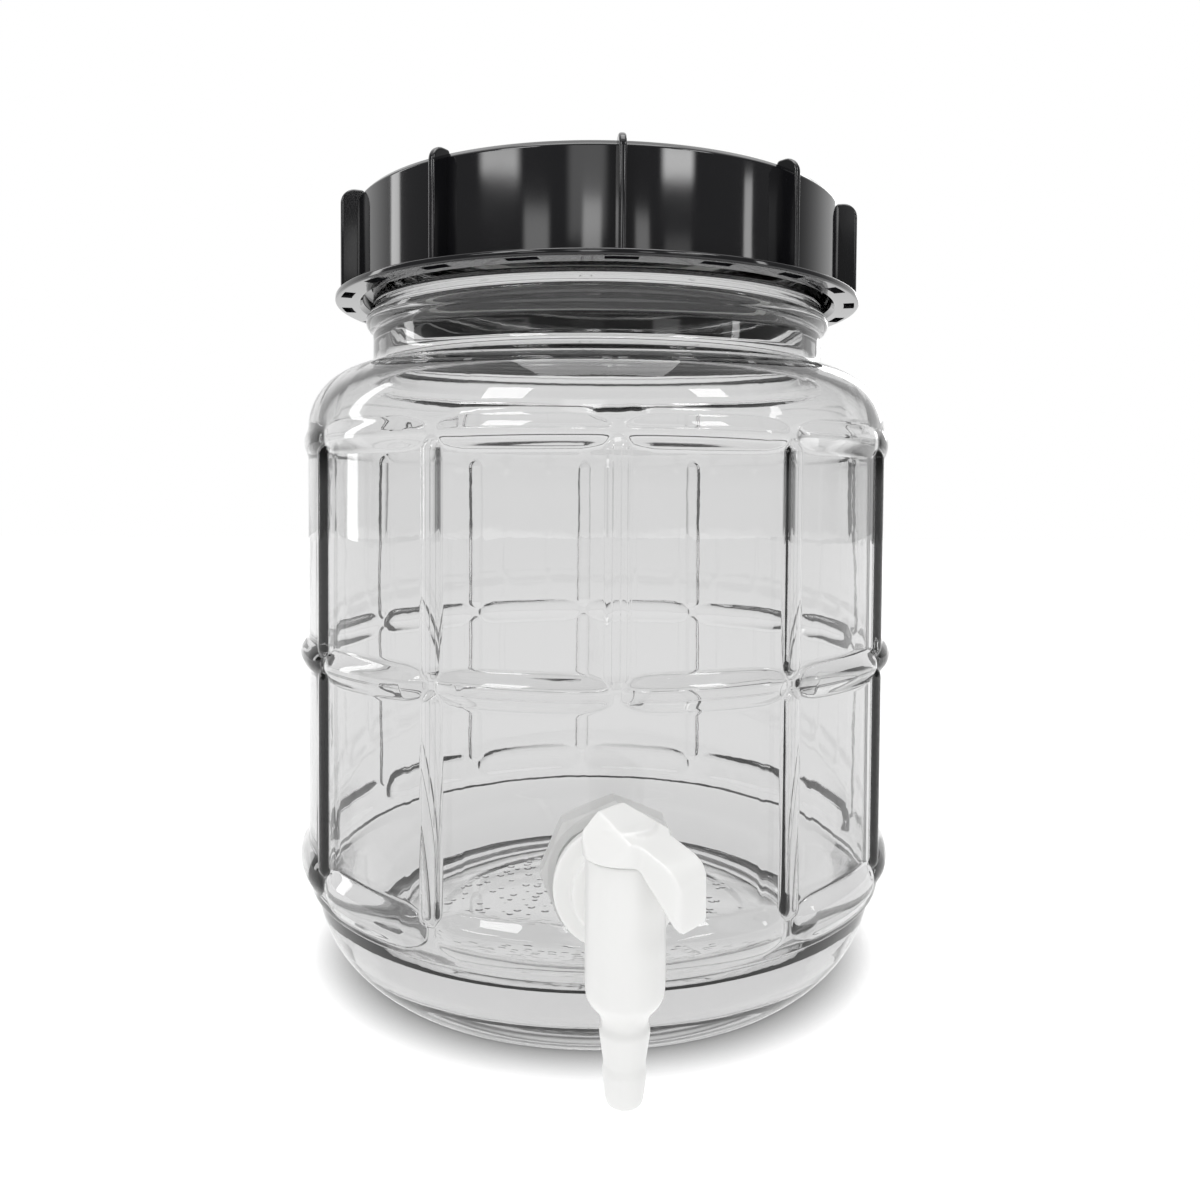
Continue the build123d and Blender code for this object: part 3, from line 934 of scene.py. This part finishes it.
@dataclass
class Tap:
    """The tap's moulded body and its lever handle."""

    axis_y: float = -123.5
    bore_z: float = 52.2
    barrel_r: float = 9.1
    barrel_top: float = 69.5
    barrel_foot: float = 38.9
    valve_r: float = 7.0
    valve_floor: float = 38.5
    spout_r: float = 5.6
    spout_z: float = 33.8
    spout_bore: float = 3.3
    tip_z: float = 13.2
    tip_rim: Point = (3.9, 0.15)
    tip_lip: Point = (4.35, 1.2)
    barbs: tuple[Point, ...] = ((5.1, 20.8), (4.75, 22.4), (5.85, 29.9), (5.2, 31.5))
    shank_end: float = 76.3
    shank_r: float = 10.0
    shank_bore: float = 4.5
    disc_d: float = 96.3
    disc_t: float = 3.4
    disc_r: float = 15.9
    collar_r: float = 11.4
    collar_t: float = 4.0
    neck_r: float = 8.0
    thread_pitch: float = 1.8
    thread_depth: float = 0.55
    thread_lead: float = 1.0
    thread_end: float = 88.5
    shank_plain: float = 90.0
    lever_turn: float = -43.0
    hub_r: float = 9.9
    hub_foot: float = 69.7
    hub_top: float = 79.5
    hub_top_w: float = 9.0
    lever_w: float = 11.2
    lever_reach: float = 18.6
    lever_slope: float = 22.0
    lever_nose: float = 5.5
    lever_tip: float = 57.6
    lever_root: float = 7.2
    lever_clearance: float = 0.3
    hub_side: float = 0.6
    end_foot: float = 40.0
    plug_gap: float = 0.35
    plug_in: float = 3.0
    plug_down: float = 4.0
    voxel: float = 0.42
    polish: int = 6

    def settle(self, piece: bpy.types.Object) -> None:
        """Melts a piece's overlapping forms into one moulding with soft edges.

        Args:
            piece: the object.
        """
        melt = piece.modifiers.new("melt", "REMESH")
        melt.mode = "VOXEL"
        melt.voxel_size = self.voxel * MM
        melt.use_smooth_shade = True
        ease = piece.modifiers.new("ease", "SMOOTH")
        ease.iterations = self.polish
        apply_modifiers(piece)

    def body(self) -> None:
        """Builds the body: barrel and barbed outlet on Z, shank, disc and collar on Y."""
        bm = bmesh.new()
        upright = turn(bm, rounded([
            (self.spout_bore, self.tip_z),
            (self.tip_rim[0], self.tip_z - self.tip_rim[1]),
            (self.tip_lip[0], self.tip_z + self.tip_lip[1]),
            *self.barbs,
            (self.spout_r, self.spout_z),
            (self.barrel_r - 0.4, self.barrel_foot - 1.9),
            (self.barrel_r, self.barrel_foot + 1.2),
            (self.barrel_r, self.barrel_top),
            (self.valve_r, self.barrel_top),
            (self.valve_r, self.valve_floor),
            (self.spout_bore, self.valve_floor - 2.6),
        ], {1: 0.5, 2: 0.8, 3: 0.5, 5: 0.3, 7: 1.6, 8: 2.4, 9: 2.0}), 72, closed=True)
        bmesh.ops.translate(bm, verts=upright, vec=(0, self.axis_y * MM, 0))
        length = -self.axis_y - self.valve_r
        collar_d = self.disc_d + self.disc_t
        ridges = []
        d = self.shank_end + self.thread_lead
        while d < self.thread_end:
            ridges += [(self.shank_r - self.thread_depth, d), (self.shank_r, d + self.thread_pitch / 2)]
            d += self.thread_pitch
        across = turn(bm, rounded([
            (self.shank_bore, self.shank_end),
            (self.shank_r - 1, self.shank_end),
            *ridges,
            (self.shank_r, self.shank_plain),
            (self.shank_r, self.disc_d),
            (self.disc_r, self.disc_d),
            (self.disc_r, collar_d),
            (self.collar_r, collar_d),
            (self.collar_r, collar_d + self.collar_t),
            (self.neck_r, collar_d + self.collar_t),
            (self.neck_r, length),
            (self.shank_bore, length),
        ], {}), 72, closed=True)
        bmesh.ops.rotate(bm, verts=across, cent=(0, 0, 0), matrix=Matrix.Rotation(math.pi / 2, 3, "X"))
        bmesh.ops.translate(bm, verts=across, vec=(0, 0, self.bore_z * MM))
        bmesh.ops.recalc_face_normals(bm, faces=bm.faces[:])
        body = to_object(bm, "tap_moulding", WHITE_TAP.make())
        self.settle(body)
        mount(body, Body.JAR, "tap_body")

    def handle(self) -> None:
        """Builds the handle: what its side, plan and end outlines have in common, with its plug."""
        finish = WHITE_TAP.make()
        crown = -self.hub_top_w / 2
        nose = self.hub_top - (self.lever_reach - crown) * math.tan(math.radians(self.lever_slope))
        bm = bmesh.new()
        prism(bm, rounded([
            (-self.hub_r, self.hub_foot),
            (crown, self.hub_top),
            (self.lever_reach, nose),
            (self.lever_reach, self.lever_tip),
            (self.lever_root, self.hub_foot),
        ], {2: self.lever_nose * 0.9}, 8), 2 * self.hub_r)
        piece = to_object(bm, "tap_lever", finish)
        bm = bmesh.new()
        root = math.degrees(math.asin(self.lever_w / 2 / self.hub_r))
        made = prism(bm, rounded([
            (self.lever_reach, -self.lever_w / 2), (self.lever_reach, self.lever_w / 2),
            *arc((0, 0), self.hub_r, root, 360 - root, 40),
        ], {0: 2.0, 1: 2.0}, 5), 2 * self.hub_top)
        bmesh.ops.rotate(bm, verts=made, cent=(0, 0, 0), matrix=Matrix.Rotation(math.pi / 2, 3, "X"))
        bmesh.ops.translate(bm, verts=made, vec=(0, 0, self.hub_top * MM))
        carve(piece, to_object(bm, "plan", finish), "INTERSECT")
        bm = bmesh.new()
        made = prism(bm, [
            (-self.hub_r, self.end_foot), (self.hub_r, self.end_foot),
            (self.hub_r, self.hub_foot + self.hub_side), (self.hub_top_w / 2, self.hub_top),
            (-self.hub_top_w / 2, self.hub_top), (-self.hub_r, self.hub_foot + self.hub_side),
        ], 4 * self.lever_reach)
        bmesh.ops.rotate(bm, verts=made, cent=(0, 0, 0), matrix=Matrix.Rotation(math.pi / 2, 3, "Z"))
        carve(piece, to_object(bm, "end", finish), "INTERSECT")
        bm = bmesh.new()
        bmesh.ops.create_cone(bm, cap_ends=True, segments=64,
                              radius1=(self.barrel_r + self.lever_clearance) * MM,
                              radius2=(self.barrel_r + self.lever_clearance) * MM,
                              depth=self.hub_foot * MM)
        bmesh.ops.translate(bm, verts=bm.verts[:], vec=(0, 0, self.hub_foot / 2 * MM))
        carve(piece, to_object(bm, "barrel", finish), "DIFFERENCE")
        bm = bmesh.new()
        bm.from_mesh(piece.data)
        plug_r = self.valve_r - self.plug_gap
        plug_top, plug_foot = self.hub_top - self.plug_in, self.barrel_top - self.plug_down
        turn(bm, [(0, plug_top), (plug_r, plug_top), (plug_r, plug_foot), (0, plug_foot)], 48)
        bm.to_mesh(piece.data)
        bm.free()
        self.settle(piece)
        turned = Matrix.Translation((0, self.axis_y * MM, 0)) @ Matrix.Rotation(
            math.radians(self.lever_turn), 4, "Z")
        piece.data.transform(turned)
        mount(piece, Body.HANDLE, "tap_handle")


# The room


@dataclass(frozen=True)
class Pane:
    """A bright pane of the room, which gloss and glass mirror."""

    middle: float
    half: float
    low: float
    high: float
    strength: float


@dataclass(frozen=True)
class Softbox:
    """A square lamp that looks at the jar."""

    name: str
    place: tuple[float, float, float]
    size: float
    power: float


@dataclass
class Studio:
    """The camera, the pale floor, the room and the soft light."""

    distance: float = 0.344
    height: float = 0.1496
    side: float = 3.3
    yaw: float = 3.53
    pitch: float = 1.8
    roll: float = 0.35
    lens: float = 30.0
    shift_y: float = -0.0617
    floor_size: float = 6.0
    floor_colour: float = 0.30
    floor_glow: float = 0.94
    floor_near_r: float = 0.2
    floor_far_r: float = 1.2
    floor_far_gain: float = 0.3
    floor_through: float = 0.64
    floor_through_colour: float = 0.10
    # Painted contact shadow on the floor: how far its ambient occlusion reaches, and the power that it is
    # raised to.
    painted_shadow_reach: float = 0.012
    painted_shadow_depth: float = 0.7
    sky: float = 0.45
    glass_light: float = 1.5
    glass_back: float = 0.77
    glass_side: float = 0.1
    glass_edge: tuple[float, float] = (0.76, 0.93)
    glass_panes: float = 0.12
    room: float = 0.26
    ceiling: float = 1.3
    ceiling_edge: tuple[float, float] = (0.6, 0.85)
    backdrop: float = 1.0
    backdrop_edge: tuple[float, float] = (0.1, 0.6)
    ground_edge: float = 0.04
    pane_soft: float = 0.25
    pane_blur: float = 0.006
    aim_z: float = 0.1
    panes: tuple[Pane, ...] = (
        Pane(-107.5, 3.5, -0.2, 0.6, 5.0),
        Pane(-47.0, 9.0, 0.298, 0.330, 9.0),
        Pane(32.0, 7.0, 0.300, 0.330, 12.0),
        Pane(-30.0, 5.5, 0.225, 0.275, 3.0),
        Pane(-6.0, 4.0, 0.20, 0.285, 4.5),
        Pane(-8.0, 8.0, 0.25, 0.40, 1.6),
        Pane(16.0, 3.0, 0.20, 0.27, 3.0),
        Pane(32.0, 6.0, 0.20, 0.25, 1.2),
        Pane(67.0, 2.2, 0.15, 0.30, 6.0),
        Pane(150.0, 6.0, 0.1, 0.5, 3.0),
    )
    softboxes: tuple[Softbox, ...] = (
        Softbox("overhead_softbox", (0.0, -0.25, 1.5), 0.9, 10.0),
        Softbox("left_softbox", (-0.8, -1.0, 0.95), 0.4, 4.0),
        Softbox("right_softbox", (0.85, -0.95, 1.0), 0.3, 2.4),
    )

    def camera(self) -> None:
        """Sets the camera where the photograph was taken from."""
        side, yaw, pitch, roll = (math.radians(a) for a in (self.side, self.yaw, self.pitch, self.roll))
        place = Vector((-self.distance * math.sin(side), -self.distance * math.cos(side), self.height))
        ahead = Vector((math.sin(yaw) * math.cos(pitch), math.cos(yaw) * math.cos(pitch),
                        -math.sin(pitch)))
        level = ahead.cross(Vector((0, 0, 1))).normalized()
        upright = level.cross(ahead)
        right = level * math.cos(roll) + upright * math.sin(roll)
        up = right.cross(ahead)
        data = bpy.data.cameras.new("camera")
        data.lens = self.lens
        data.sensor_width = 36.0
        data.shift_y = self.shift_y
        data.clip_start = 0.01
        camera = bpy.data.objects.new("camera", data)
        turned = Matrix((right, up, -ahead)).transposed().to_4x4()
        camera.matrix_world = Matrix.Translation(place) @ turned
        bpy.context.scene.collection.objects.link(camera)
        bpy.context.scene.camera = camera

    def world(self) -> None:
        """White for the camera, a room with panes for gloss and glass, and an even sky for the rest."""
        world = bpy.data.worlds.new("studio")
        bpy.context.scene.world = world
        graph = Graph(world)
        way = graph.add("ShaderNodeTexCoord", output="Generated")
        rise = graph.part(way, "Z")
        ahead = graph.part(way, "Y")
        turn_from_front = graph.add("ShaderNodeMath", {"operation": "ARCTAN2"},
                                    {0: graph.part(way, "X"), 1: -1.0 * ahead})
        pale = ahead.rise(*self.backdrop_edge).larger(rise.rise(self.ground_edge, 0.0))
        wall = self.room + (self.backdrop - self.room) * pale
        room = wall + (self.ceiling - self.room) * rise.rise(*self.ceiling_edge)
        panes = room * 0.0
        for pane in self.panes:
            middle, half = math.radians(pane.middle), math.radians(pane.half)
            soft, blur = self.pane_soft * half, self.pane_blur
            across = (turn_from_front.rise(middle - half - soft, middle - half + soft)
                      * turn_from_front.rise(middle + half + soft, middle + half - soft))
            up = rise.rise(pane.low - blur, pane.low + blur) * rise.rise(pane.high + blur, pane.high - blur)
            panes = panes + pane.strength * (across * up)
        camera = graph.path(Ray.CAMERA)
        scattered = graph.path(Ray.SCATTERED).smaller(1.0)
        through = graph.path(Ray.TRANSMISSION)
        gloss = graph.path(Ray.GLOSSY) * (1.0 - through)
        rest = 1.0 - camera.larger(gloss).larger(through)
        behind = self.glass_side + (self.glass_back - self.glass_side) * ahead.rise(*self.glass_edge)
        seen = (1.0 - scattered) * (behind + self.glass_panes * panes)
        strength = (camera + self.sky * rest + gloss * (room + panes)
                    + through * (seen + self.glass_light * scattered))
        surface = graph.add("ShaderNodeBackground", None, {"Color": (1, 1, 1, 1), "Strength": strength})
        graph.finish(surface, "ShaderNodeOutputWorld")

    def floor(self) -> None:
        """A plain pale floor that keeps the lamps' shadow of the object, adds a painted contact shadow from
        ambient occlusion for the camera, and turns white away from it.
        """
        bm = bmesh.new()
        bmesh.ops.create_grid(bm, x_segments=1, y_segments=1, size=self.floor_size / 2)
        material = bpy.data.materials.new("studio_floor")
        graph = Graph(material)
        through = graph.path(Ray.TRANSMISSION)
        # Painted contact shadow: ambient occlusion darkens the floor's colour and glow near the jar, for
        # camera rays only.
        near = graph.add("ShaderNodeAmbientOcclusion", {"samples": 16},
                         {"Distance": self.painted_shadow_reach}, "AO")
        painted_shade_kept = 1.0 - graph.path(Ray.CAMERA) * (1.0 - graph.add(
            "ShaderNodeMath", {"operation": "POWER"}, {0: near, 1: self.painted_shadow_depth}))
        away = graph.add("ShaderNodeVectorMath", {"operation": "LENGTH"}, {0: graph.place()}, "Value")
        far = away.rise(self.floor_near_r, self.floor_far_r)
        colour = painted_shade_kept * (1.0 - through) * self.floor_colour + self.floor_through_colour * through
        diffuse = graph.add("ShaderNodeBsdfDiffuse", None, {"Color": colour})
        light = ((1.0 - through) * painted_shade_kept * (self.floor_glow + self.floor_far_gain * far)
                 + self.floor_through * through)
        glow = graph.add("ShaderNodeEmission", None, {"Color": (1, 1, 1, 1), "Strength": light})
        graph.finish(graph.add("ShaderNodeAddShader", None, {0: diffuse, 1: glow}))
        floor = to_object(bm, "studio_floor", material, mend=False)

    def light(self) -> None:
        """Large soft lamps that look at the jar, and that glass shades as a solid does."""
        for box in self.softboxes:
            data = bpy.data.lights.new(box.name, "AREA")
            data.shape = "SQUARE"
            data.size = box.size
            data.energy = box.power
            lamp = bpy.data.objects.new(box.name, data)
            lamp.location = box.place
            aim = Vector((0, 0, self.aim_z)) - lamp.location
            lamp.rotation_euler = aim.to_track_quat("-Z", "Y").to_euler()
            lamp.visible_transmission = False
            bpy.context.scene.collection.objects.link(lamp)


def dress(node: bpy.types.Object, finish: Moulding) -> None:
    """Gives a CAD node its finish.

    Args:
        node: the node's object.
        finish: the finish.
    """
    material = finish.make()
    for slot in node.material_slots:
        slot.material = material
    log.info("%s: %s", node.name, finish.name)


def main() -> None:
    """Builds the pieces in order."""
    logging.basicConfig(level=logging.INFO, format="%(name)s: %(message)s")
    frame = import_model()
    bpy.context.scene.view_settings.view_transform = "Standard"
    studio = Studio()
    studio.camera()
    studio.world()
    studio.floor()
    studio.light()
    Jar().build()
    Lid().build()
    tap = Tap()
    tap.body()
    tap.handle()
    for name, finish in (("lid_seal", SEAL_FOAM), ("outer_washer", SOFT_WASHER),
                         ("inner_washer", SOFT_WASHER), ("lock_nut", NUT_NATURAL)):
        dress(frame["nodes"][name], finish)


if __name__ == "__main__":
    main()
